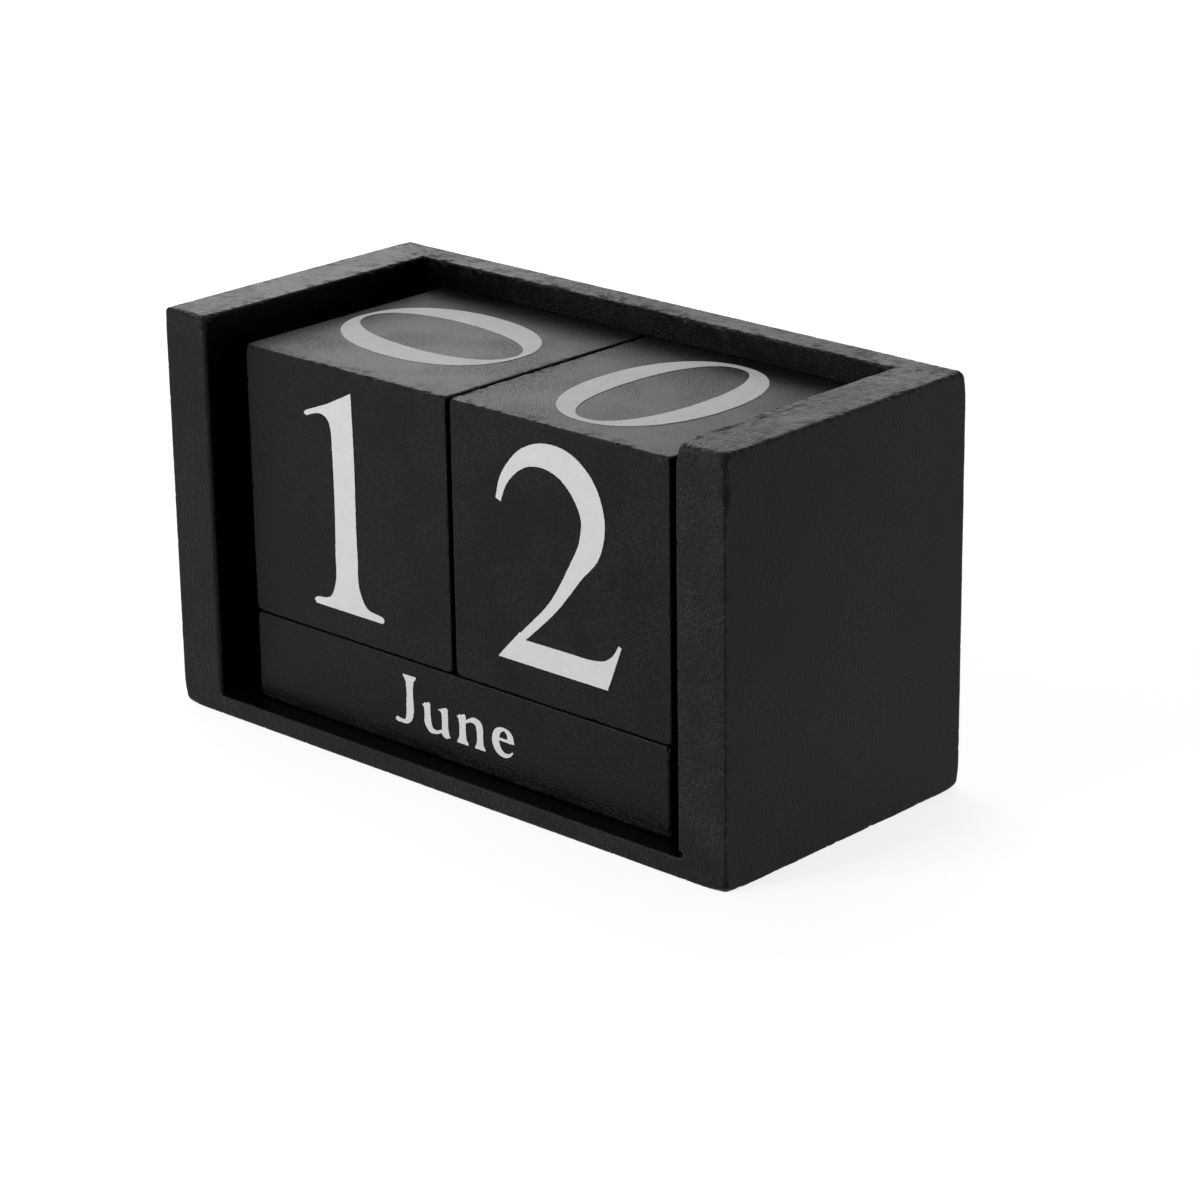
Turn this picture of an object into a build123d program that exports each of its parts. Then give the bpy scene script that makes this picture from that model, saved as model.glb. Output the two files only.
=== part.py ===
# A perpetual desk calendar. A painted wooden case, open at its front and top, holds three month
# bars side by side on its base, and two day cubes stand on the bars. The blocks are loose: the bars
# pull out forwards and the cubes lift out, to be turned to another face and put back.
# Millimetres. X runs from left to right, Y from front to back and Z upwards.
# The origin is the middle of the case's footprint, on the surface that it stands on.
import os

from build123d import *

os.makedirs("parts", exist_ok=True)

# Driving dimensions: the blocks
day_cube_side = 36.6
day_cube_names = ("left_day_cube", "right_day_cube")
month_bar_names = ("front_month_bar", "middle_month_bar", "rear_month_bar")
month_bar_shortfall = 0.4
month_bar_shift = 0.05
block_edge_radius = 0.4

# Driving dimensions: the room that the case leaves around the blocks
left_play = 4.1
right_play = 3.8
day_cube_gap = 0.6
front_recess = 3.2
rim_above_cubes = 3.4

# Driving dimensions: the case's boards
side_thickness = 7.65
back_thickness = 5.2
base_thickness = 2.8

# Driving dimensions: how far the boards' edges are eased
front_edge_radius = 0.5
top_edge_radius = 0.6
left_foot_radius = 1.0
right_foot_radius = 0.4
rear_side_radius = 0.5
rear_top_radius = 1.2
rear_foot_radius = 1.2

# Driving dimensions: the headless steel pins in the case's butt joints
pin_sink = 1.0
pin_clearance = 0.02
pin_tip_clearance = 0.3
pin_tip_share = 0.6
back_pin_diameter = 1.0
back_pin_length = 14.0
back_pin_height_shares = (0.16, 0.5, 0.84)
base_pin_diameter = 0.64
base_pin_length = 15.0
base_pin_depth_shares = (0.22, 0.78)

# Sizes that follow from the blocks and the boards
month_bar_side = day_cube_side / len(month_bar_names)
block_row_width = 2 * day_cube_side + day_cube_gap
month_bar_length = block_row_width - month_bar_shortfall
inner_width = left_play + block_row_width + right_play
inner_depth = front_recess + day_cube_side
case_width = inner_width + 2 * side_thickness
case_depth = inner_depth + back_thickness
case_height = base_thickness + month_bar_side + day_cube_side + rim_above_cubes

# Places that follow from those sizes
front_y = -case_depth / 2
back_face_y = front_y + inner_depth
middle_y = (front_y + back_face_y) / 2
block_left_x = left_play - inner_width / 2
block_front_y = front_y + front_recess
cube_foot_z = base_thickness + month_bar_side
side_panels = ((-1, "left_side_panel"), (1, "right_side_panel"))

# The pins across the back panel's joints: their places, and their lengths in the two boards
back_joint = Plane.XZ.offset(-back_face_y)
back_pin_x = (inner_width + side_thickness) / 2
back_pin_spots = {
    side: [(side * back_pin_x, share * case_height) for share in back_pin_height_shares]
    for side, _ in side_panels
}
back_pin_hole = back_pin_diameter / 2 + pin_clearance
back_pin_in_back = back_thickness - pin_sink
back_pin_in_side = back_pin_length - back_pin_in_back

# The pins across the base's ends, likewise
end_joints = {side: Plane.YZ.offset(side * inner_width / 2) for side, _ in side_panels}
base_pin_height = base_thickness / 2
base_pin_spots = [(front_y + share * inner_depth, base_pin_height) for share in base_pin_depth_shares]
base_pin_hole = base_pin_diameter / 2 + pin_clearance
base_pin_in_side = side_thickness - pin_sink
base_pin_in_base = base_pin_length - base_pin_in_side

# Base board, held between the side panels and in front of the back panel
with BuildPart() as base_board:
    with BuildSketch():
        with Locations((0, middle_y)):
            Rectangle(inner_width, inner_depth)
    extrude(amount=base_thickness)
    front_edges = base_board.faces().sort_by(Axis.Y)[0].edges().filter_by(Axis.X)
    fillet(front_edges, front_edge_radius)
    for side, end_joint in end_joints.items():
        with BuildSketch(end_joint):
            with Locations(*base_pin_spots):
                Circle(base_pin_hole)
        extrude(amount=-side * (base_pin_in_base + pin_tip_clearance), mode=Mode.SUBTRACT)
base_board.part.label = "base_board"
export_step(base_board.part, "parts/base_board.step")

# Side panels, standing beside the base, with their rear ends against the back panel
for side, name in side_panels:
    with BuildPart() as side_panel:
        with BuildSketch():
            with Locations((side * back_pin_x, middle_y)):
                Rectangle(side_thickness, inner_depth)
        extrude(amount=case_height)
        foot_edges = side_panel.edges().filter_by(Axis.Y).group_by(Axis.Z)[0]
        if side < 0:
            fillet(foot_edges.sort_by(Axis.X)[0], left_foot_radius)
        else:
            fillet(foot_edges.sort_by(Axis.X)[-1], right_foot_radius)
        fillet(side_panel.edges().filter_by(Axis.Y).group_by(Axis.Z)[-1], top_edge_radius)
        fillet(side_panel.faces().sort_by(Axis.Y)[0].edges(), front_edge_radius)
        with BuildSketch(back_joint):
            with Locations(*back_pin_spots[side]):
                Circle(back_pin_hole)
        extrude(amount=back_pin_in_side + pin_tip_clearance, mode=Mode.SUBTRACT)
        with BuildSketch(end_joints[side]):
            with Locations(*base_pin_spots):
                Circle(base_pin_hole)
        extrude(amount=side * base_pin_in_side, mode=Mode.SUBTRACT)
    side_panel.part.label = name
    export_step(side_panel.part, f"parts/{name}.step")

# Back panel, across the whole width behind the side panels and the base
with BuildPart() as back_panel:
    with BuildSketch(back_joint):
        with Locations((0, case_height / 2)):
            Rectangle(case_width, case_height)
    extrude(amount=-back_thickness)
    fillet(back_panel.faces().sort_by(Axis.Y)[-1].edges().sort_by(Axis.Z)[0], rear_foot_radius)
    fillet(back_panel.faces().sort_by(Axis.Y)[-1].edges().sort_by(Axis.Z)[-1], rear_top_radius)
    fillet(back_panel.faces().sort_by(Axis.Y)[-1].edges().filter_by(Axis.Z), rear_side_radius)
    with BuildSketch(back_joint):
        with Locations(*back_pin_spots[-1], *back_pin_spots[1]):
            Circle(back_pin_hole)
    extrude(amount=-back_pin_in_back, mode=Mode.SUBTRACT)
back_panel.part.label = "back_panel"
export_step(back_panel.part, "parts/back_panel.step")

# Pins that hold the back panel to the side panels, sunk under its rear face, their tips forwards
with BuildPart() as back_panel_pins:
    with BuildSketch(back_joint.offset(-back_pin_in_back)):
        with Locations(*back_pin_spots[-1], *back_pin_spots[1]):
            Circle(back_pin_diameter / 2)
    extrude(amount=back_pin_length)
    tips = back_panel_pins.edges().filter_by(GeomType.CIRCLE).group_by(Axis.Y)[0]
    chamfer(tips, back_pin_diameter / 2 * pin_tip_share)
back_panel_pins.part.label = "back_panel_pins"
export_step(back_panel_pins.part, "parts/back_panel_pins.step")

# Pins that hold the base between the side panels, sunk under their outer faces, their tips inwards
with BuildPart() as base_pins:
    for side, end_joint in end_joints.items():
        with BuildSketch(end_joint.offset(side * base_pin_in_side)):
            with Locations(*base_pin_spots):
                Circle(base_pin_diameter / 2)
        extrude(amount=-side * base_pin_length)
    ends = base_pins.edges().filter_by(GeomType.CIRCLE).group_by(Axis.X)
    left_heads, left_tips, right_tips, right_heads = ends
    chamfer(left_tips + right_tips, base_pin_diameter / 2 * pin_tip_share)
base_pins.part.label = "base_pins"
export_step(base_pins.part, "parts/base_pins.step")

# Month bars, side by side on the base, the rear one against the back panel
for place, name in enumerate(month_bar_names):
    bar_corner = (block_left_x + month_bar_shift, block_front_y + place * month_bar_side)
    with BuildPart() as month_bar:
        with BuildSketch(Plane.XY.offset(base_thickness)):
            with Locations(bar_corner):
                Rectangle(month_bar_length, month_bar_side, align=(Align.MIN, Align.MIN))
        extrude(amount=month_bar_side)
        fillet(month_bar.edges(), block_edge_radius)
    month_bar.part.label = name
    export_step(month_bar.part, f"parts/{name}.step")

# Day cubes, standing on the bars with their backs against the back panel
for place, name in enumerate(day_cube_names):
    cube_corner = (block_left_x + place * (day_cube_side + day_cube_gap), block_front_y)
    with BuildPart() as day_cube:
        with BuildSketch(Plane.XY.offset(cube_foot_z)):
            with Locations(cube_corner):
                Rectangle(day_cube_side, day_cube_side, align=(Align.MIN, Align.MIN))
        extrude(amount=day_cube_side)
        fillet(day_cube.edges(), block_edge_radius)
    day_cube.part.label = name
    export_step(day_cube.part, f"parts/{name}.step")
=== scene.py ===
import itertools
import math

import bmesh
import bpy
import numpy as np
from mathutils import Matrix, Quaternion, Vector, geometry, noise


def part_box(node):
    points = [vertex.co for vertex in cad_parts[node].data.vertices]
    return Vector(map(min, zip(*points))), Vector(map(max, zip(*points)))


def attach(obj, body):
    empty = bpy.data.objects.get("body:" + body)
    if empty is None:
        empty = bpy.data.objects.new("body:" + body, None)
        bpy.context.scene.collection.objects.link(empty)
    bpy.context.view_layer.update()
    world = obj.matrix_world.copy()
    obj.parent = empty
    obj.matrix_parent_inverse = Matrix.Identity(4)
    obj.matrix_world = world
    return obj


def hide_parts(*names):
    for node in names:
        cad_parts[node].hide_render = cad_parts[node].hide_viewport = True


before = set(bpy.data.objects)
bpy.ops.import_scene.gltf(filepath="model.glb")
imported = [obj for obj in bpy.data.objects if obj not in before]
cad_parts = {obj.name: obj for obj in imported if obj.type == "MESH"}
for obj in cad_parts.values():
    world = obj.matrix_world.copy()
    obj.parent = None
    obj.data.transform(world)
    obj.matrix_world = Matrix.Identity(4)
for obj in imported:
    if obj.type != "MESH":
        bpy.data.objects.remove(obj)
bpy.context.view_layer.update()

# Lengths are in metres, but the print is drawn in millimetres
MM = 0.001
X, Y, Z = range(3)

# How the painted wood is divided into faces: close together near its edges, wider between them
edge_band = 1.5 * MM
edge_step = 0.15 * MM
face_step = 0.75 * MM
edge_cuts = 3

# How far the paint lies under the solid's faces, and how uneven it is
block_sink = 0.06 * MM
board_sink = 0.02 * MM
ripple_depth = 0.03 * MM
ripple_length = 9.0 * MM

# How uneven a worn edge is: it wanders, it is ragged, and here and there a chip is missing
wander_length, wander_depth = 2.6 * MM, 0.12 * MM
ragged_length, ragged_depth = 0.42 * MM, 0.10 * MM
chip_length, chip_start, chip_depth = 0.9 * MM, 0.25, 0.9 * MM
worn_reach = 3.0 * MM
paint_wear_reach = 1.0 * MM

# Keeps an edge's weight finite on the edge itself, where the values of several edges are blended
edge_blend = 0.02 * MM


def grid_lines(low, high):
    """Places along one axis of a box, close together near both ends and wider between them."""
    length = high - low
    band = min(edge_band, length * 0.3)
    fine = np.arange(0, band, edge_step)
    middle = np.linspace(band, length - band, max(2, round((length - 2 * band) / face_step)))
    return low + np.concatenate([fine, middle, length - fine[::-1]])


def box_shell(lines):
    """The vertices and outward facing quads of a box's surface, divided at those places on each axis."""
    counts = [len(places) for places in lines]
    steps = np.indices(counts)
    outer = np.zeros(counts, bool)
    for axis in range(3):
        outer |= (steps[axis] == 0) | (steps[axis] == counts[axis] - 1)
    number = np.full(counts, -1)
    number[outer] = np.arange(outer.sum())
    places = np.stack([lines[axis][steps[axis][outer]] for axis in range(3)], 1)
    quads = []
    for axis in range(3):
        for end in (0, -1):
            sheet = np.take(number, end, axis)
            corners = (sheet[:-1, :-1], sheet[1:, :-1], sheet[1:, 1:], sheet[:-1, 1:])
            loops = np.stack(corners, -1).reshape(-1, 4)
            turned = (end == 0) != (axis == 1)
            quads.append(loops[:, ::-1] if turned else loops)
    return places, np.concatenate(quads)


def box_mesh(name, low, high):
    """A box's surface as a mesh, with short faces along its edges, where they are worn."""
    places, quads = box_shell([grid_lines(low[axis], high[axis]) for axis in range(3)])
    mesh = bpy.data.meshes.new(name)
    mesh.from_pydata(places.tolist(), [], quads.tolist())
    work = bmesh.new()
    work.from_mesh(mesh)
    along_edges = []
    for edge in work.edges:
        start, end = (np.array(vertex.co) for vertex in edge.verts)
        axis = int(np.argmax(np.abs(end - start)))
        across = [other for other in range(3) if other != axis]
        to_face = np.minimum(start - low, high - start)[across]
        if edge.calc_length() > 2 * edge_step and to_face.max() < edge_band:
            along_edges.append(edge)
    bmesh.ops.subdivide_edges(work, edges=along_edges, cuts=edge_cuts)
    work.to_mesh(mesh)
    work.free()
    return mesh


def ripples(places, length, shift):
    """Smooth noise from -1 to 1 at each place, with features of about that length."""
    return np.array([noise.noise(place) for place in (places / length + shift).tolist()])


def edge_values(places, low, high, usual, special, corner_radius, corner_reach, special_corners):
    """For each place, the radius along each axis and the wear of the edges near it, and how far the
    nearest is. special gives the edges that differ, as {(axis, end, axis, end): (radius, wear)}, where end
    is 0 for the low face and 1 for the high one, and None for an edge where the next board goes on. The
    corners are rounder than the edges, and that reaches some way along them. special_corners gives the
    radius of those that differ."""
    to_face = np.stack([places - low, high - places])
    radius, radius_weight = np.zeros((2, len(places), 3))
    wear, wear_weight = np.zeros((2, len(places)))
    nearest = np.full(len(places), np.inf)
    for first, second in ((X, Y), (X, Z), (Y, Z)):
        for end, other_end in itertools.product((0, 1), repeat=2):
            edge = special.get((first, end, second, other_end), usual)
            if edge is None:
                continue
            away = np.hypot(to_face[end, :, first], to_face[other_end, :, second])
            weight = 1 / (away + edge_blend) ** 4
            for axis in (first, second):
                radius[:, axis] += weight * edge[0]
                radius_weight[:, axis] += weight
            wear += weight * edge[1]
            wear_weight += weight
            nearest = np.minimum(nearest, away)
    radius /= np.maximum(radius_weight, 1e-9)

    for ends in itertools.product((0, 1), repeat=3):
        edges = [(first, ends[first], second, ends[second]) for first, second in ((X, Y), (X, Z), (Y, Z))]
        if any(special.get(edge, usual) is None for edge in edges):
            continue
        away = np.linalg.norm(np.stack([to_face[ends[axis], :, axis] for axis in range(3)]), axis=0)
        share = np.exp(-((away / corner_reach) ** 2))[:, None]
        radius += share * np.maximum(special_corners.get(ends, corner_radius) - radius, 0)
    return radius, wear / wear_weight, nearest


def wooden_piece(node, body, slot, edges, sink, shift, rough=(0, 0, 0), joints=None, marks=()):
    """A painted piece of wood in a node's place, with worn edges and a slightly uneven surface. edges is
    what edge_values takes after the box, and rough says how rough the faces across each axis are. joints
    gives the faces that butt against the next board, as {(axis, end): test of places, or None for the whole
    face}. marks are small dents: each has its middle, its reach along each axis and its depth, in
    millimetres."""
    low, high = (np.array(corner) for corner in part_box(node))
    mesh = box_mesh(node + "_wood", low, high)
    places = np.empty(len(mesh.vertices) * 3)
    mesh.vertices.foreach_get("co", places)
    places = places.reshape(-1, 3)

    eased, wear, edge_distance = edge_values(places, low, high, *edges)
    worn = edge_distance < worn_reach
    at_edge = places[worn]
    uneven = wander_depth * ripples(at_edge, wander_length, shift)
    uneven += ragged_depth * ripples(at_edge, ragged_length, shift + 3.0)
    uneven += chip_depth * np.clip(ripples(at_edge, chip_length, shift + 7.0) - chip_start, 0, None)
    eased[worn] += (wear[worn] * uneven)[:, None]
    eased = np.clip(eased, 0.01 * MM, (high - low).min() * 0.45)
    from_low, to_high = low + eased, high - eased
    for (axis, end), meets in (joints or {}).items():
        there = np.ones(len(places), bool) if meets is None else meets(places)
        if end == 0:
            from_low[there, axis] = -np.inf
        else:
            to_high[there, axis] = np.inf

    core = np.clip(places, from_low, to_high)
    outward = (places - core) / eased
    length = np.linalg.norm(outward, axis=1, keepdims=True)
    outward /= np.maximum(length, 1e-9)
    depth = sink + ripple_depth * (0.5 + 0.5 * ripples(places, ripple_length, shift))
    for middle, reach, dent in marks:
        away = (places / MM - middle) / reach
        depth += dent * MM * np.exp(-(away ** 2).sum(1))
    placed = np.where(length > 0, core + outward * (eased - depth[:, None]), places)
    mesh.vertices.foreach_set("co", placed.ravel())
    mesh.shade_smooth()
    mesh.set_sharp_from_angle(angle=math.radians(60))

    near_edge = wear * np.exp(-edge_distance / paint_wear_reach)
    cut_edge = np.abs(outward) @ np.array(rough)
    for name, values in (("near_edge", near_edge), ("cut_edge", cut_edge)):
        kept = mesh.attributes.new(name, "FLOAT", "POINT")
        kept.data.foreach_set("value", values.astype(np.float32))
    piece = bpy.data.objects.new(node + "_wood", mesh)
    bpy.context.scene.collection.objects.link(piece)
    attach(piece, body)
    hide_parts(node)
    return piece


def add_node(tree, kind, inputs=None, **settings):
    """A shader node with its settings. Its inputs are values, or sockets to link from."""
    made = tree.nodes.new(kind)
    for name, value in settings.items():
        setattr(made, name, value)
    for name, value in (inputs or {}).items():
        if isinstance(value, bpy.types.NodeSocket):
            tree.links.new(value, made.inputs[name])
        else:
            made.inputs[name].default_value = value
    return made


def new_material(name):
    """A node material with only its output, and that material's tree and output node."""
    material = bpy.data.materials.new(name)
    material.use_nodes = True
    tree = material.node_tree
    tree.nodes.clear()
    return material, tree, tree.nodes.new("ShaderNodeOutputMaterial")


def scaled(tree, value, low, high):
    """value, from 0 to 1, mapped to low to high."""
    ranged = add_node(tree, "ShaderNodeMapRange", {"Value": value, "To Min": low, "To Max": high})
    return ranged.outputs["Result"]


def sum_of(tree, first, second, share):
    """first plus second times share."""
    summed = add_node(tree, "ShaderNodeMath", {0: second, 1: share, 2: first}, operation="MULTIPLY_ADD")
    return summed.outputs[0]


def between(tree, value, low, high):
    """0 where value is under low, 1 where it is over high, and a smooth step between them."""
    ranged = add_node(tree, "ShaderNodeMapRange", {
        "Value": value, "From Min": low, "From Max": high,
    }, interpolation_type="SMOOTHSTEP")
    return ranged.outputs["Result"]


def times(tree, first, second):
    """first times second."""
    return add_node(tree, "ShaderNodeMath", {0: first, 1: second}, operation="MULTIPLY").outputs[0]


def black_paint(name, pit_share):
    """Matte black paint on fibreboard. It is smooth, with patches of fine pits, and rougher at worn edges.
    The boards' cut edges are pebbled, and dull in spots."""
    material, tree, output = new_material(name)
    coordinates = tree.nodes.new("ShaderNodeTexCoord")

    def cloud(scale, detail):
        inputs = {"Vector": coordinates.outputs["Object"], "Scale": scale, "Detail": detail}
        return add_node(tree, "ShaderNodeTexNoise", inputs).outputs[0]

    peel, pebble, pit, fibre = cloud(1500, 1), cloud(2100, 3), cloud(3300, 3), cloud(3400, 3)
    patch, mottle = cloud(95, 2), cloud(700, 4)
    edge = add_node(tree, "ShaderNodeAttribute", attribute_name="near_edge").outputs["Fac"]
    cut = add_node(tree, "ShaderNodeAttribute", attribute_name="cut_edge").outputs["Fac"]

    pitted = scaled(tree, between(tree, patch, 0.4, 0.6), 0.4, 1.0)
    pits = times(tree, between(tree, pit, 0.48, 0.66), pitted)
    height = sum_of(tree, times(tree, peel, 0.25), pits, -pit_share)
    height = sum_of(tree, height, times(tree, fibre, edge), 1.0)
    height = sum_of(tree, height, times(tree, times(tree, pebble, cut), pitted), 5.0)
    bump = add_node(tree, "ShaderNodeBump", {"Strength": 1.0, "Distance": 0.06 * MM, "Height": height})

    grain = sum_of(tree, times(tree, between(tree, pebble, 0.36, 0.64), cut), pits, 0.3)
    colour = add_node(tree, "ShaderNodeMix", {
        0: grain, 6: (0.0008, 0.0008, 0.0008, 1), 7: (0.005, 0.005, 0.005, 1),
    }, data_type="RGBA")
    spots = between(tree, mottle, 0.45, 0.68)
    roughness = scaled(tree, patch, 0.26, 0.34)
    roughness = sum_of(tree, roughness, pits, 0.08)
    roughness = sum_of(tree, roughness, times(tree, spots, cut), 0.11)
    roughness = sum_of(tree, roughness, times(tree, spots, edge), 0.4)
    paint = add_node(tree, "ShaderNodeBsdfPrincipled", {
        "Base Color": colour.outputs[2], "Roughness": roughness,
        "Specular IOR Level": 0.108, "Normal": bump.outputs[0],
    })
    tree.links.new(paint.outputs[0], output.inputs[0])
    return material


case_paint = black_paint("case_paint", 0.22)
block_paint = black_paint("block_paint", 0.45)

# The boards' edges, each with its radius and wear, and their corners
front_edge = (0.35 * MM, 0.4)
arris_edge = (0.25 * MM, 0.9)
soft_front_edge = (0.6 * MM, 0.3)
sharp_front_edge = (0.12 * MM, 0.3)
front_top_edge = (0.9 * MM, 0.5)
inner_top_edge = (0.35 * MM, 1.2)
outer_top_edge = (0.6 * MM, 0.8)
rear_side_edge = (0.5 * MM, 0.4)
rear_top_edge = (1.2 * MM, 0.6)
rear_foot_edge = (1.2 * MM, 0.5)
left_foot_edge = (1.0 * MM, 0.5)
right_foot_edge = (0.4 * MM, 0.8)
board_corner, board_corner_reach = 1.1 * MM, 2.0 * MM
sharp_corner = 0.5 * MM

# Where the boards meet
base_low, base_high = (np.array(corner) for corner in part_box("base_board"))


def beside_base(places):
    return places[:, Z] < base_high[Z]


def behind_board(places):
    outside = (places[:, X] < base_low[X] - 0.2 * MM) | (places[:, X] > base_high[X] + 0.2 * MM)
    return outside | (places[:, Z] < base_high[Z])


# The boards: the edges that differ, with None where two boards meet, the corners that differ, and what
# wooden_piece takes
side_edges = {
    (X, 0, Y, 1): None, (X, 1, Y, 1): None, (Y, 1, Z, 0): None, (Y, 1, Z, 1): None,
    (Y, 0, Z, 1): front_top_edge,
}
boards = {
    "left_side_panel": (
        {**side_edges, (X, 0, Z, 0): left_foot_edge, (X, 1, Z, 0): None, (X, 1, Y, 0): soft_front_edge,
         (X, 0, Z, 1): outer_top_edge, (X, 1, Z, 1): inner_top_edge},
        {(0, 0, 1): sharp_corner},
        dict(rough=(0, 0.4, 0.4), joints={(Y, 1): None, (X, 1): beside_base}),
    ),
    "right_side_panel": (
        {**side_edges, (X, 1, Z, 0): right_foot_edge, (X, 0, Z, 0): None, (X, 1, Y, 0): arris_edge,
         (X, 0, Y, 0): sharp_front_edge, (X, 1, Z, 1): outer_top_edge, (X, 0, Z, 1): inner_top_edge},
        {},
        dict(rough=(0, 1.0, 0.9), joints={(Y, 1): None, (X, 0): beside_base}, marks=[
            ((48.4, -22.3, 50.0), (0.5, 0.35, 1.3), 0.45), ((40.9, -22.4, 3.2), (0.6, 0.4, 0.35), 0.5),
            ((41.9, -13.5, 55.0), (0.2, 2.4, 0.5), 0.16), ((42.2, -8.6, 55.0), (0.2, 1.9, 0.5), 0.12),
            ((42.5, -4.0, 55.0), (0.22, 2.2, 0.5), 0.16),
        ]),
    ),
    "back_panel": (
        {(X, 0, Y, 0): None, (X, 1, Y, 0): None, (Y, 0, Z, 0): None, (Y, 0, Z, 1): inner_top_edge,
         (X, 0, Z, 0): left_foot_edge, (X, 1, Z, 0): right_foot_edge, (Y, 1, Z, 0): rear_foot_edge,
         (X, 0, Z, 1): outer_top_edge, (X, 1, Z, 1): outer_top_edge,
         (X, 0, Y, 1): rear_side_edge, (X, 1, Y, 1): rear_side_edge, (Y, 1, Z, 1): rear_top_edge},
        {},
        dict(rough=(0, 0, 1.1), joints={(Y, 0): behind_board}),
    ),
    "base_board": (
        {(X, 0, Y, 0): None, (X, 1, Y, 0): None, (X, 0, Y, 1): None, (X, 1, Y, 1): None,
         (X, 0, Z, 0): None, (X, 1, Z, 0): None, (X, 0, Z, 1): None, (X, 1, Z, 1): None,
         (Y, 1, Z, 0): None, (Y, 1, Z, 1): None},
        {},
        dict(rough=(0, 0.7, 0), joints={(X, 0): None, (X, 1): None, (Y, 1): None}),
    ),
}
for count, (node, (special, corners, details)) in enumerate(boards.items()):
    edges = (front_edge, special, board_corner, board_corner_reach, corners)
    board = wooden_piece(node, "case", "case_paint", edges, board_sink, 11.3 * count, **details)
    board.data.materials.append(case_paint)

# The blocks' edges likewise: the front ones that show on top are the most worn
block_edge = (0.3 * MM, 0.6)
worn_edge = (0.25 * MM, 1.25)
block_corner, block_corner_reach = 0.6 * MM, 0.8 * MM
blocks = {
    "left_day_cube": ("left_cube", {(Y, 0, Z, 1): worn_edge, (X, 1, Y, 0): worn_edge}),
    "right_day_cube": ("right_cube", {(Y, 0, Z, 1): worn_edge, (X, 0, Z, 1): worn_edge}),
    "front_month_bar": ("front_bar", {(X, 1, Z, 1): (0.9 * MM, 1.0), (X, 1, Y, 0): (0.6 * MM, 0.8)}),
    "middle_month_bar": ("middle_bar", {}),
    "rear_month_bar": ("rear_bar", {}),
}
for count, (node, (body, special)) in enumerate(blocks.items()):
    edges = (block_edge, special, block_corner, block_corner_reach, {})
    block = wooden_piece(node, body, "block_paint", edges, block_sink, 53.7 + 11.3 * count)
    block.data.materials.append(block_paint)

# The print's outlines are lines through a few points, in millimetres
print_step = 0.15


def smooth_line(points):
    """A smooth line through points of any number of values, the first two of which are x and y."""
    points = np.array(points, float)
    spans = np.linalg.norm(np.diff(points[:, :2], axis=0), axis=1)
    distance = np.concatenate([[0], np.cumsum(spans)])
    slopes = np.gradient(points, distance, axis=0)
    wanted = np.linspace(0, distance[-1], max(2, round(distance[-1] / print_step) + 1))
    span = np.clip(np.searchsorted(distance, wanted, "right") - 1, 0, len(spans) - 1)
    length = spans[span][:, None]
    share = (wanted - distance[span])[:, None] / length
    rest = 1 - share
    return (rest ** 2 * ((1 + 2 * share) * points[span] + share * length * slopes[span])
            + share ** 2 * ((1 + 2 * rest) * points[span + 1] - rest * length * slopes[span + 1]))


def outline(*runs):
    """A closed outline of smooth runs of points, with a corner wherever two runs meet."""
    return [np.concatenate([smooth_line(run)[:-1] for run in runs])]


def stroke(*stations):
    """A pen stroke through stations of x, y and width, cut off square at its ends."""
    line = smooth_line(stations)
    along = np.gradient(line[:, :2], axis=0)
    along /= np.linalg.norm(along, axis=1, keepdims=True)
    across = np.stack([-along[:, 1], along[:, 0]], 1) * line[:, 2:] / 2
    return [np.concatenate([line[:, :2] + across, (line[:, :2] - across)[::-1]])]


def ring(x, y, width, height, side, hairline, tilt=0, fullness=2):
    """An oval stroke with thick sides and a thin top and bottom, as two halves. The inside tilts, in
    degrees. The oval is an ellipse at a fullness of 2, and squarer above that."""
    halves = []
    lean = math.radians(tilt)
    for side_of in (-1, 1):
        turn = np.linspace(0, np.pi, 60) * side_of
        across = np.sign(np.sin(turn)) * np.abs(np.sin(turn)) ** (2 / fullness)
        along = np.sign(np.cos(turn)) * np.abs(np.cos(turn)) ** (2 / fullness)
        outer = np.stack([across * width / 2, along * height / 2], 1)
        inner = np.stack([across * (width / 2 - side), along * (height / 2 - hairline)], 1)
        inner = inner @ np.array([[math.cos(lean), math.sin(lean)], [-math.sin(lean), math.cos(lean)]])
        halves.append(np.concatenate([outer, inner[::-1]]) + (x, y))
    return halves


def stem(x, low, high, width, foot=0, head=0):
    """An upright stroke, with a serif of that width at its foot and head."""
    flare = ((0, 1), (0.2, 0.97), (0.34, 0.6), (0.55, 0.2), (0.85, 0))
    foot_stations = [(x, low + lift * width, width + share * (foot - width)) for lift, share in flare]
    head_stations = [(x, high - drop * width, width + share * (head - width)) for drop, share in flare]
    return stroke(*(foot_stations if foot else [(x, low, width)]),
                  *(head_stations[::-1] if head else [(x, high, width)]))


def flag(x, high, width, reach=0.4):
    """The slanted serif at the upper left of a small letter's stem."""
    left, right = x - width / 2, x + width / 2
    return outline([(left - reach, high - 0.6), (x + 0.3 * width, high)],
                   [(x + 0.3 * width, high), (right, high - 0.3)],
                   [(right, high - 0.3), (left, high - 1.3)],
                   [(left, high - 1.3), (left - 0.1, high - 0.85), (left - reach, high - 0.6)])


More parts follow.
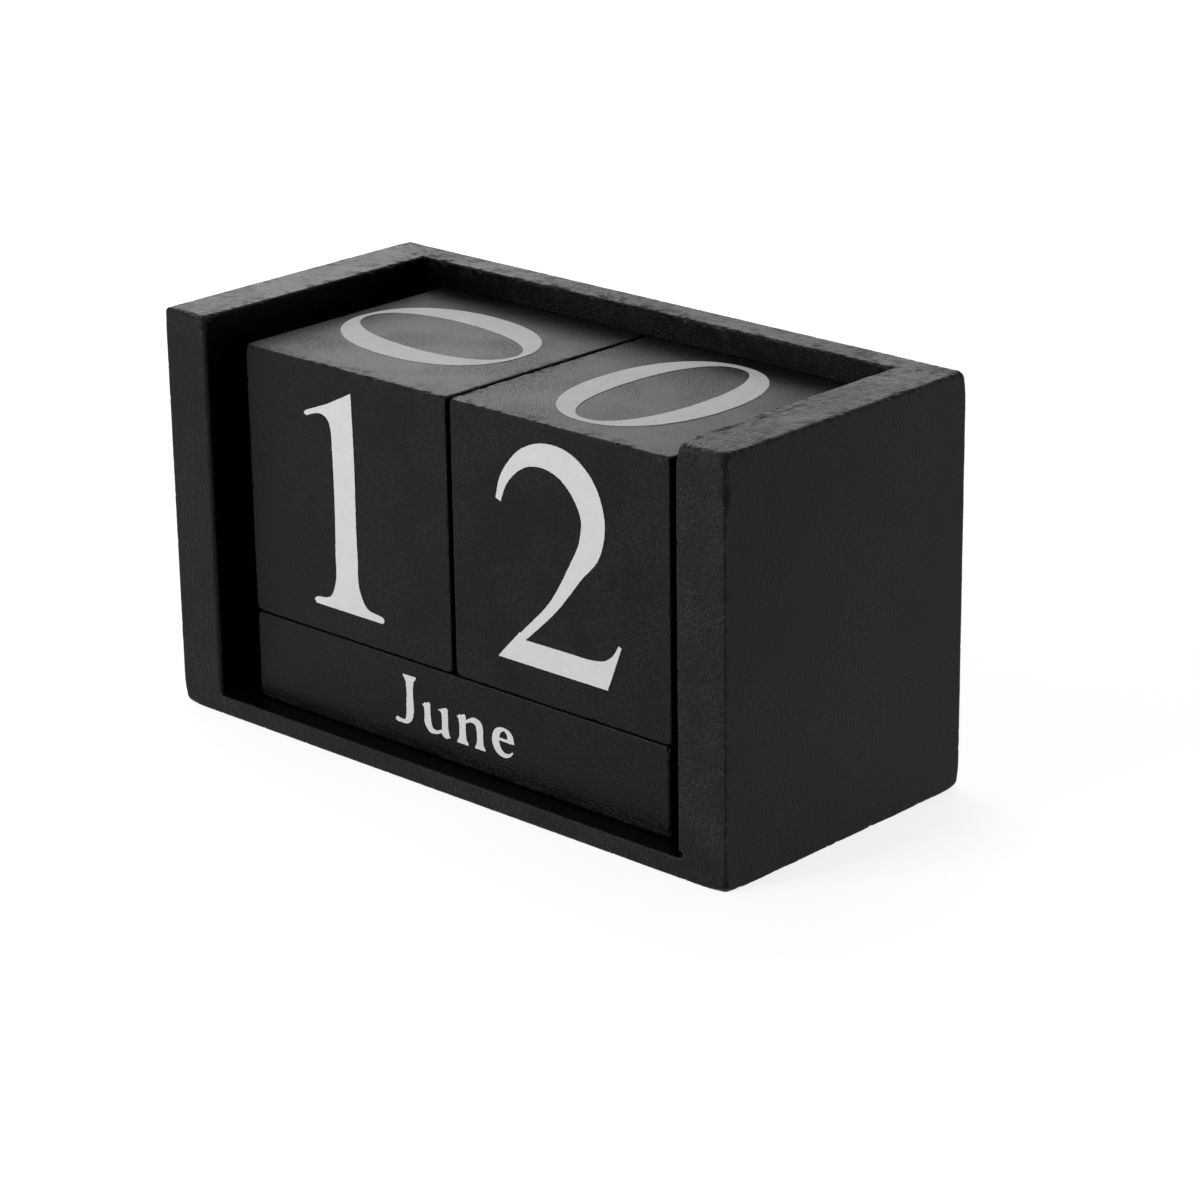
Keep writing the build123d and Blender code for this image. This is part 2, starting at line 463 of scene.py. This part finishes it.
def numbers():
    """The numbers on the day cubes, about 30 mm tall, with x from their middle and y from their foot."""
    zero = ring(0, 14.9, 21.4, 29.75, 4.45, 0.85, fullness=2.2)
    one = outline(
        [(-6.7, 26.2), (-2.6, 27.85), (1.85, 30.05)],
        [(1.85, 30.05), (2.05, 22), (2.1, 8), (2.35, 3.6), (3.4, 1.75), (6.4, 1.05)],
        [(6.4, 1.05), (6.7, 0.62), (6.3, 0.2)],
        [(6.3, 0.2), (-5.9, 0.2)],
        [(-5.9, 0.2), (-6.3, 0.65), (-5.8, 1.1)],
        [(-5.8, 1.1), (-3.2, 1.75), (-2.25, 3.6), (-2.0, 8), (-1.95, 22), (-2.05, 24.3), (-2.5, 25.65),
         (-3.6, 26.27), (-5.0, 26.12), (-6.5, 25.55)],
        [(-6.5, 25.55), (-6.95, 25.85), (-6.7, 26.2)],
    )
    two = stroke((-9.95, 20.75, 0.9), (-9.15, 23.15, 1.3), (-7.5, 25.4, 1.75), (-5.15, 27.15, 2.4),
                 (-2.2, 27.92, 3.15), (1.45, 27.35, 4.0), (4.25, 25.2, 4.35), (5.9, 21.5, 3.95),
                 (5.4, 17.95, 3.6), (3.0, 14.3, 2.45), (-0.68, 9.15, 1.5), (-6.3, 3.6, 1.15))
    two += outline([(-10.35, 0.15), (8.05, 0.2)], [(8.05, 0.2), (10.4, 6.2)], [(10.4, 6.2), (9.95, 6.4)],
                   [(9.95, 6.4), (8.85, 4.8), (7.55, 3.9), (5.6, 3.5), (2, 3.42)],
                   [(2, 3.42), (-5.75, 3.35)], [(-5.75, 3.35), (-6.7, 4.2)], [(-6.7, 4.2), (-10.4, 0.3)],
                   [(-10.4, 0.3), (-10.35, 0.15)])
    three = stroke((-7.4, 23.4, 1.0), (-5.6, 26.9, 1.9), (-1.6, 28.5, 3.0), (3.0, 27.1, 4.0),
                   (5.0, 23.4, 4.3), (3.6, 19.4, 3.2), (0.2, 16.9, 1.8), (-2.4, 16.1, 1.0))
    three += stroke((-2.4, 16.1, 1.0), (2.0, 15.9, 1.9), (6.1, 13.4, 3.8), (7.3, 8.8, 4.5), (5.0, 3.9, 4.1),
                    (-0.4, 1.3, 2.6), (-5.0, 1.8, 2.5), (-7.4, 3.4, 2.6), (-8.2, 4.2, 1.2))
    four = stem(4.2, 0, 29.8, 3.9) + stroke((4.6, 29.2, 1.9), (-10.0, 8.6, 1.7))
    four += outline([(-11.0, 7.0), (10.2, 7.0)], [(10.2, 7.0), (10.9, 10.2)], [(10.9, 10.2), (-10.6, 10.2)],
                    [(-10.6, 10.2), (-11.0, 7.0)])
    five = outline([(-5.3, 30.0), (6.3, 30.0)], [(6.3, 30.0), (7.6, 30.9)], [(7.6, 30.9), (6.6, 26.3)],
                   [(6.6, 26.3), (-4.7, 26.3)], [(-4.7, 26.3), (-5.3, 30.0)])
    five += stroke((-4.7, 29.8, 1.3), (-6.6, 16.6, 1.2))
    five += stroke((-6.9, 16.9, 1.0), (-2.4, 18.3, 2.2), (3.4, 17.0, 3.9), (6.6, 12.4, 4.6),
                   (6.2, 6.9, 4.4), (2.2, 2.5, 3.3), (-3.4, 1.2, 2.4), (-6.9, 2.9, 2.6), (-7.8, 4.0, 1.1))
    six = ring(0.4, 9.7, 18.6, 19.4, 4.3, 1.1, 8)
    six += stroke((-6.8, 9.6, 4.3), (-6.4, 15.4, 4.3), (-3.6, 21.8, 3.3), (1.8, 27.0, 2.0),
                  (7.4, 29.8, 0.9))
    seven = outline([(-8.9, 29.8), (9.6, 29.8)], [(9.6, 29.8), (9.6, 28.6)], [(9.6, 28.6), (6.4, 26.3)],
                    [(6.4, 26.3), (-6.0, 26.3), (-8.0, 25.4), (-9.2, 23.0)], [(-9.2, 23.0), (-10.0, 23.2)],
                    [(-10.0, 23.2), (-8.9, 29.8)])
    seven += stroke((8.4, 28.8, 2.0), (2.6, 16.0, 3.0), (-3.2, 0.1, 4.3))
    eight = ring(0, 22.6, 14.8, 14.8, 3.6, 1.1, 10) + ring(0, 8.4, 18.2, 16.8, 4.3, 1.1, 10)
    return dict(zip("012345678", (zero, one, two, three, four, five, six, seven, eight)))


def small_arch(x):
    """The arch of h, m and n from a stem at x, with its own stem and foot."""
    return stroke((x + 0.5, 3.05, 0.3), (x + 1.3, 3.5, 0.5), (x + 2.25, 3.68, 0.88), (x + 2.97, 3.25, 1.22),
                  (x + 3.12, 2.4, 1.16)) + stem(x + 3.12, 0, 2.6, 1.15, foot=1.8)


def small_bowl(x):
    """The bowl of b and p, to the right of a stem at x."""
    return stroke((x + 0.4, 3.2, 0.4), (x + 1.4, 3.8, 0.6), (x + 2.5, 3.35, 1.15), (x + 2.9, 2.05, 1.4),
                  (x + 2.5, 0.8, 1.15), (x + 1.4, 0.25, 0.6), (x + 0.2, 0.5, 0.4))


def letters():
    """The letters of the month names: strokes, with x from the left and y from the foot, and widths."""
    small, large = 1.24, 1.36
    tall = stem(1.2, 0, 6.8, small, foot=2.0) + flag(1.2, 7.0, small)
    short = stem(1.2, 0, 3.9, small, foot=2.0) + flag(1.2, 4.15, small)
    a = stroke((0.7, 2.95, 0.5), (0.95, 3.5, 0.8), (1.75, 3.95, 0.5), (2.6, 3.45, 1.1), (2.75, 2.6, 1.3),
               (2.75, 1.0, 1.3), (3.05, 0.4, 0.9), (3.75, 0.3, 0.3))
    a += stroke((2.5, 2.35, 0.4), (1.4, 1.95, 0.7), (0.75, 1.1, 1.2), (1.3, 0.4, 0.8), (2.3, 0.75, 0.4))
    c = stroke((3.45, 3.0, 0.6), (3.1, 3.5, 0.9), (2.2, 3.92, 0.5), (1.2, 3.45, 1.05), (0.75, 2.1, 1.5),
               (1.2, 0.9, 1.25), (2.3, 0.3, 0.7), (3.2, 0.6, 0.4), (3.6, 1.0, 0.2))
    e = stroke((3.64, 2.4, 1.12), (3.42, 3.32, 0.92), (2.45, 3.87, 0.4), (1.42, 3.42, 0.92),
               (0.95, 2.15, 1.25), (1.42, 0.95, 1.12), (2.5, 0.4, 0.64), (3.45, 0.65, 0.4),
               (3.95, 1.08, 0.2))
    e += outline([(1.4, 2.22), (4.2, 2.22)], [(4.2, 2.22), (4.22, 2.6)], [(4.22, 2.6), (1.4, 2.6)],
                 [(1.4, 2.6), (1.4, 2.22)])
    g = ring(1.85, 2.75, 3.2, 2.75, 1.05, 0.4, 6)
    g += stroke((2.9, 3.6, 0.4), (3.5, 3.85, 0.5), (4.1, 3.85, 0.6))
    g += stroke((1.3, 1.55, 0.4), (0.8, 1.0, 0.6), (1.5, 0.45, 0.9), (3.0, 0.15, 1.1), (3.5, -0.75, 0.8),
                (2.4, -1.6, 0.6), (1.0, -1.5, 0.6), (0.5, -0.85, 0.7), (1.4, 0.1, 0.45))
    dot = ring(1.15, 5.7, 1.5, 1.5, 0.73, 0.73)
    o = ring(2.15, 2.05, 4.2, 4.3, 1.35, 0.42, 12)
    p = stem(1.2, -2.1, 3.9, small, foot=2.0) + flag(1.2, 4.15, small) + small_bowl(1.2)
    r = short + stroke((1.7, 3.2, 0.35), (2.2, 3.7, 0.6), (2.9, 3.75, 0.9), (3.3, 3.45, 0.9))
    s = stroke((2.95, 3.0, 0.35), (2.5, 3.75, 0.5), (1.7, 3.95, 0.5), (0.95, 3.4, 0.95), (1.2, 2.6, 1.15),
               (2.3, 1.75, 1.2), (2.65, 0.95, 1.0), (2.0, 0.25, 0.6), (1.1, 0.25, 0.5), (0.45, 1.15, 0.35))
    t = stroke((1.5, 5.2, 0.3), (1.3, 4.4, 1.0), (1.25, 3.6, 1.3), (1.25, 1.3, 1.3), (1.6, 0.55, 1.0),
               (2.3, 0.3, 0.5), (3.0, 0.7, 0.25)) + stroke((0.2, 3.85, 0.45), (2.8, 3.95, 0.45))
    u = stroke((0.8, 3.9, 1.1), (0.83, 2.4, 1.1), (0.95, 1.1, 1.2), (1.4, 0.48, 0.95), (2.2, 0.33, 0.55),
               (3.4, 0.75, 0.4)) + flag(0.8, 4.15, 1.1)
    u += stem(3.96, 0.45, 3.9, 1.1) + flag(3.96, 4.15, 1.1, reach=0.7)
    u += outline([(3.35, 0.9), (3.4, 0.3), (3.9, -0.05), (4.95, 0.2)],
                 [(4.95, 0.2), (4.7, 0.5), (4.6, 1.1)], [(4.6, 1.1), (3.35, 0.9)])
    v = stroke((0.95, 4.0, 1.4), (2.45, 0.1, 1.0)) + stroke((3.75, 4.0, 0.6), (2.5, 0.1, 0.7))
    v += stroke((0.1, 3.95, 0.3), (1.9, 3.95, 0.3)) + stroke((2.9, 3.95, 0.3), (4.6, 3.95, 0.3))
    y = v + stroke((2.75, 0.8, 0.6), (1.9, -1.2, 0.6), (1.2, -1.75, 0.8), (0.5, -1.7, 0.7))
    capital_a = stroke((3.2, 7.0, 0.5), (1.0, 0.15, 0.6)) + stroke((3.1, 7.0, 1.2), (5.5, 0.15, 1.5))
    capital_a += stroke((1.6, 2.3, 0.5), (4.6, 2.3, 0.5))
    capital_a += stroke((0.1, 0.15, 0.3), (2.1, 0.15, 0.3)) + stroke((4.2, 0.15, 0.3), (6.7, 0.15, 0.3))
    capital_d = stem(1.35, 0, 6.9, large, foot=2.6, head=2.6)
    capital_d += stroke((1.3, 6.65, 0.5), (3.2, 6.5, 0.75), (4.9, 5.3, 1.4), (5.5, 3.45, 1.6),
                        (4.9, 1.6, 1.4), (3.2, 0.4, 0.75), (1.3, 0.25, 0.5))
    capital_f = stem(1.35, 0, 6.9, large, foot=2.8, head=2.6) + stroke((1.3, 6.65, 0.5), (4.6, 6.65, 0.5))
    capital_f += stroke((4.45, 6.9, 0.5), (4.75, 5.4, 0.3)) + stroke((1.3, 3.6, 0.5), (3.6, 3.6, 0.5))
    capital_f += stroke((3.6, 4.3, 0.4), (3.6, 2.8, 0.4))
    capital_j = stem(2.54, 2.2, 6.88, large, head=2.3)
    capital_j += stroke((2.54, 2.4, 1.36), (2.42, 1.4, 1.22), (2.1, 0.72, 0.9), (1.6, 0.36, 0.6),
                        (1.05, 0.34, 0.52), (0.5, 0.38, 0.6), (0.1, 0.4, 0.6), (-0.12, 0.4, 0.3))
    capital_m = stem(1.2, 0, 6.9, 0.7, foot=2.2) + stem(6.9, 0, 6.9, large, foot=2.6, head=2.2)
    capital_m += stroke((0.9, 6.9, 1.2), (3.95, 0.2, 1.3)) + stroke((6.9, 6.8, 0.7), (4.0, 0.2, 0.7))
    capital_m += stroke((0.1, 6.75, 0.3), (1.4, 6.75, 0.3))
    capital_n = stem(1.2, 0, 6.9, 0.7, foot=2.2) + stem(5.6, 0.3, 6.9, 0.7, head=2.2)
    capital_n += stroke((0.9, 6.8, 1.4), (5.5, 0.1, 1.3)) + stroke((0.1, 6.75, 0.3), (1.4, 6.75, 0.3))
    capital_o = ring(3.4, 3.45, 6.8, 7.2, 1.6, 0.5, 8)
    capital_s = stroke((4.0, 5.0, 0.35), (3.6, 6.3, 0.5), (2.5, 6.75, 0.6), (1.2, 6.0, 1.2),
                       (1.2, 4.9, 1.4), (2.6, 3.6, 1.7), (3.9, 2.3, 1.5), (3.6, 0.9, 1.3), (2.2, 0.25, 0.7),
                       (1.0, 0.6, 0.5), (0.4, 2.0, 0.35))
    return {
        "a": (a, 3.9), "b": (tall + small_bowl(1.2), 4.8), "c": (c, 3.7), "e": (e, 4.25), "g": (g, 4.2),
        "h": (tall + small_arch(1.17), 5.2), "i": (short + dot, 2.2), "l": (tall, 2.2),
        "m": (short + small_arch(1.17) + small_arch(4.27), 8.3), "n": (short + small_arch(1.17), 5.2),
        "o": (o, 4.3), "p": (p, 4.8),
        "r": (r, 3.6), "s": (s, 3.2), "t": (t, 3.0), "u": (u, 5.0), "v": (v, 4.6), "y": (y, 4.6),
        "A": (capital_a, 6.7), "D": (capital_d, 6.4), "F": (capital_f, 4.9), "J": (capital_j, 3.98),
        "M": (capital_m, 8.2), "N": (capital_n, 6.7), "O": (capital_o, 6.8), "S": (capital_s, 4.5),
    }


letter_gap = 0.9
number_shapes = numbers()
letter_shapes = letters()


def word(text):
    """A word's strokes side by side, with x from the middle of the word and y from its foot."""
    shapes = []
    reach = 0.0
    for letter in text:
        strokes, width = letter_shapes[letter]
        shapes += [points + (reach, 0) for points in strokes]
        reach += width + letter_gap
    return [points - ((reach - letter_gap) / 2, 0) for points in shapes]


# How the print lies on the wood: its top just under the solid's face, its underside in the paint
print_top = 0.012
print_foot = 0.11
rough_length, rough_depth = 0.3, 0.045

# A fixed seed, so that the vector noise, and with it the print's rims, are the same in every run
noise.seed_set(1)


def joined(shapes):
    """The flat triangles that cover overlapping outlines, with slightly rough rims."""
    corners, loops = [], []
    for points in shapes:
        area = np.sum(points[:, 0] * np.roll(points[:, 1], -1) - points[:, 1] * np.roll(points[:, 0], -1))
        loops.append(list(range(len(corners), len(corners) + len(points))))
        corners += (points if area > 0 else points[::-1]).tolist()
    moved = []
    for x, y in corners:
        move = noise.noise_vector((x / rough_length, y / rough_length, 0))
        moved.append(Vector((x + rough_depth * move.x, y + rough_depth * move.y)))
    places, _, faces, _, _, covered = geometry.delaunay_2d_cdt(moved, [], loops, 1, 1e-5)
    return places, [face for face, by in zip(faces, covered) if by]


def printed(name, body, centre, right, up, shapes):
    """A thin layer of white print on a face: its middle, and which way is right and up for its reader."""
    outward = right.cross(up)
    places, faces = joined(shapes)
    used = sorted({corner for face in faces for corner in face})
    number = {corner: count for count, corner in enumerate(used)}
    flat = [centre + (right * places[corner].x + up * places[corner].y) * MM for corner in used]
    work = bmesh.new()
    vertices = [work.verts.new(place - outward * print_top * MM) for place in flat]
    for face in faces:
        work.faces.new([vertices[number[corner]] for corner in face])
    sheet = bmesh.ops.extrude_face_region(work, geom=list(work.faces))
    sunk = [item for item in sheet["geom"] if isinstance(item, bmesh.types.BMVert)]
    bmesh.ops.translate(work, verts=sunk, vec=-outward * (print_foot - print_top) * MM)
    bmesh.ops.recalc_face_normals(work, faces=list(work.faces))
    mesh = bpy.data.meshes.new(name)
    work.to_mesh(mesh)
    work.free()
    layer = bpy.data.objects.new(name, mesh)
    bpy.context.scene.collection.objects.link(layer)
    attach(layer, body)
    mesh.materials.append(white_print)


def printed_white():
    """Matte white screen print, a little thinner in places, with pinholes where the paint shows through."""
    material, tree, output = new_material("white_print")
    place = tree.nodes.new("ShaderNodeTexCoord").outputs["Object"]
    cloud = add_node(tree, "ShaderNodeTexNoise", {"Vector": place, "Scale": 550, "Detail": 4})
    speck = add_node(tree, "ShaderNodeTexNoise", {"Vector": place, "Scale": 2600, "Detail": 2})
    pinhole = add_node(tree, "ShaderNodeMapRange", {
        "Value": speck.outputs[0], "From Min": 0.68, "From Max": 0.8, "To Min": 0.0, "To Max": 0.5,
    }).outputs["Result"]
    thin = sum_of(tree, pinhole, cloud.outputs[0], 0.16)
    colour = add_node(tree, "ShaderNodeMix", {
        0: thin, 6: (0.73, 0.73, 0.73, 1), 7: (0.25, 0.25, 0.25, 1),
    }, data_type="RGBA")
    bump = add_node(tree, "ShaderNodeBump", {
        "Strength": 1.0, "Distance": 0.03 * MM, "Height": speck.outputs[0],
    })
    white = add_node(tree, "ShaderNodeBsdfPrincipled", {
        "Base Color": colour.outputs[2], "Roughness": scaled(tree, cloud.outputs[0], 0.45, 0.6),
        "Specular IOR Level": 0.2, "Normal": bump.outputs[0],
    })
    tree.links.new(white.outputs[0], output.inputs[0])
    return material


white_print = printed_white()

# Each face of a block: its outward direction and which way is up for its reader
faces_of_cube = {
    "front": ((0, -1, 0), (0, 0, 1)), "top": ((0, 0, 1), (0, 1, 0)), "right": ((1, 0, 0), (0, 0, 1)),
    "back": ((0, 1, 0), (0, 0, 1)), "left": ((-1, 0, 0), (0, 0, 1)), "under": ((0, 0, -1), (0, -1, 0)),
}
turned_top = ((0, 0, 1), (-1, 0, 0))
number_foot = -14.9
number_shifts = {
    ("left_day_cube", "front"): (-0.5, 0.2, 0), ("left_day_cube", "top"): (0.64, 1.42, -4.2),
    ("right_day_cube", "front"): (-0.1, 1.1, 0), ("right_day_cube", "top"): (0.37, 0.56, 0),
}
cube_numbers = {
    "left_day_cube": dict(front="1", top="0", right="2", back="3", left="4", under="5"),
    "right_day_cube": dict(front="2", top="0", right="6", back="7", left="1", under="8"),
}
for node, numbers_of in cube_numbers.items():
    low, high = (Vector(corner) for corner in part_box(node))
    for face, number in numbers_of.items():
        outward, up = (Vector(way) for way in faces_of_cube[face])
        if (node, face) == ("left_day_cube", "top"):
            outward, up = (Vector(way) for way in turned_top)
        right = up.cross(outward)
        half = [(high - low)[axis] / 2 * outward[axis] for axis in range(3)]
        shift_x, shift_y, askew = number_shifts.get((node, face), (0, 0, 0))
        lean = math.radians(askew)
        turn = np.array([[math.cos(lean), math.sin(lean)], [-math.sin(lean), math.cos(lean)]])
        shift = (shift_x, shift_y)
        shapes = [(points + (0, number_foot)) @ turn + shift for points in number_shapes[number]]
        centre = (low + high) / 2 + Vector(half)
        printed(f"{node}_{face}_number", blocks[node][0], centre, right, up, shapes)

bar_faces = {
    "front": ((0, -1, 0), (0, 0, 1)), "top": ((0, 0, 1), (0, 1, 0)),
    "back": ((0, 1, 0), (0, 0, -1)), "under": ((0, 0, -1), (0, -1, 0)),
}
bar_months = {
    "front_month_bar": dict(under="May", front="June", top="July", back="August"),
    "middle_month_bar": dict(front="January", top="February", back="March", under="April"),
    "rear_month_bar": dict(front="September", top="October", back="November", under="December"),
}
month_foot = -2.9
for node, months in bar_months.items():
    low, high = (Vector(corner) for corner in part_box(node))
    for face, month in months.items():
        outward, up = (Vector(way) for way in bar_faces[face])
        right = up.cross(outward)
        half = [(high - low)[axis] / 2 * outward[axis] for axis in range(3)]
        shapes = [points + (0, month_foot) for points in word(month)]
        centre = (low + high) / 2 + Vector(half)
        printed(f"{node}_{face}_name", blocks[node][0], centre, right, up, shapes)


def drawn_steel():
    """Bright steel wire, with fine marks along it."""
    material, tree, output = new_material("pin_steel")
    place = tree.nodes.new("ShaderNodeTexCoord").outputs["Object"]
    marks = add_node(tree, "ShaderNodeTexNoise", {"Vector": place, "Scale": 2500, "Detail": 4})
    steel = add_node(tree, "ShaderNodeBsdfPrincipled", {
        "Base Color": (0.55, 0.55, 0.57, 1), "Metallic": 1.0,
        "Roughness": scaled(tree, marks.outputs[0], 0.25, 0.45),
    })
    tree.links.new(steel.outputs[0], output.inputs[0])
    return material


pin_steel = drawn_steel()
for node in ("back_panel_pins", "base_pins"):
    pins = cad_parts[node].data
    pins.materials.clear()
    pins.materials.append(pin_steel)


def seen_by_eye(tree):
    """1 for rays from the camera, reflections and refractions, and 0 for the light that falls on things."""
    path = tree.nodes.new("ShaderNodeLightPath")
    seen = path.outputs["Is Camera Ray"]
    for ray in ("Is Glossy Ray", "Is Transmission Ray"):
        either = add_node(tree, "ShaderNodeMath", {0: seen, 1: path.outputs[ray]}, operation="MAXIMUM")
        seen = either.outputs[0]
    return seen


def white_floor():
    """A plain white floor that keeps the soft shadow."""
    material, tree, output = new_material("floor_white")
    cover = add_node(tree, "ShaderNodeBsdfDiffuse", {"Color": (0.5, 0.5, 0.5, 1)})
    glow = add_node(tree, "ShaderNodeEmission", {"Strength": scaled(tree, seen_by_eye(tree), 0.0, 0.82)})
    both = add_node(tree, "ShaderNodeAddShader", {0: cover.outputs[0], 1: glow.outputs[0]})
    tree.links.new(both.outputs[0], output.inputs[0])
    return material


floor_reach = 3.0
floor_mesh = bpy.data.meshes.new("floor")
floor_corners = [(-floor_reach, -floor_reach, 0), (floor_reach, -floor_reach, 0),
                 (floor_reach, floor_reach, 0), (-floor_reach, floor_reach, 0)]
floor_mesh.from_pydata(floor_corners, [], [(0, 1, 2, 3)])
floor_mesh.materials.append(white_floor())
floor = bpy.data.objects.new("floor", floor_mesh)
floor.location.z = -0.01 * MM
bpy.context.scene.collection.objects.link(floor)

# White surroundings, which light the object less than they show
world = bpy.data.worlds.new("studio")
world.use_nodes = True
world.node_tree.nodes.clear()
surroundings = add_node(world.node_tree, "ShaderNodeBackground", {
    "Color": (1, 1, 1, 1), "Strength": scaled(world.node_tree, seen_by_eye(world.node_tree), 0.14, 1.0),
})
world_output = world.node_tree.nodes.new("ShaderNodeOutputWorld")
world.node_tree.links.new(surroundings.outputs[0], world_output.inputs[0])
bpy.context.scene.world = world


def direction(azimuth, elevation):
    """The unit vector at those angles, in degrees. Azimuth 0 is in front, and 90 to the right."""
    turn, lift = math.radians(azimuth), math.radians(elevation)
    return Vector((math.sin(turn) * math.cos(lift), -math.cos(turn) * math.cos(lift), math.sin(lift)))


def soft_light(name, azimuth, elevation, distance, size, power):
    """A square softbox that faces the object."""
    lamp = bpy.data.lights.new(name, "AREA")
    lamp.size = size
    lamp.energy = power
    box = bpy.data.objects.new(name, lamp)
    towards = direction(azimuth, elevation)
    box.location = towards * distance + Vector((0, 0, 0.03))
    box.rotation_mode = "QUATERNION"
    box.rotation_quaternion = towards.to_track_quat("Z", "Y")
    bpy.context.scene.collection.objects.link(box)


soft_light("front_left", azimuth=-18, elevation=11, distance=0.75, size=0.35, power=4.2)
soft_light("rear_left", azimuth=245, elevation=22, distance=0.45, size=0.35, power=0.3)
soft_light("rear_middle", azimuth=230, elevation=30, distance=0.6, size=0.3, power=0.23)
soft_light("rear_right", azimuth=200, elevation=22, distance=0.6, size=0.3, power=0.3)
soft_light("overhead", azimuth=220, elevation=65, distance=0.7, size=0.5, power=0.7)

# The camera, where the photograph was taken from
camera_azimuth = 43.216
camera_elevation = 19.954
camera_roll = -0.803
camera_place = Vector((327.5, -340.6, 191.22)) * MM
photo_width_px = 1200
focal_px = 3891.5
camera_data = bpy.data.cameras.new("camera")
camera_data.sensor_width = 36.0
camera_data.lens = focal_px / photo_width_px * camera_data.sensor_width
camera_data.clip_start = 0.01
camera_data.clip_end = 20.0
camera = bpy.data.objects.new("camera", camera_data)
camera.location = camera_place
camera.rotation_mode = "QUATERNION"
level_turn = direction(camera_azimuth, camera_elevation).to_track_quat("Z", "Y")
camera.rotation_quaternion = level_turn @ Quaternion((0, 0, 1), math.radians(camera_roll))
bpy.context.scene.collection.objects.link(camera)
bpy.context.scene.camera = camera

bpy.context.scene.view_settings.view_transform = "Standard"
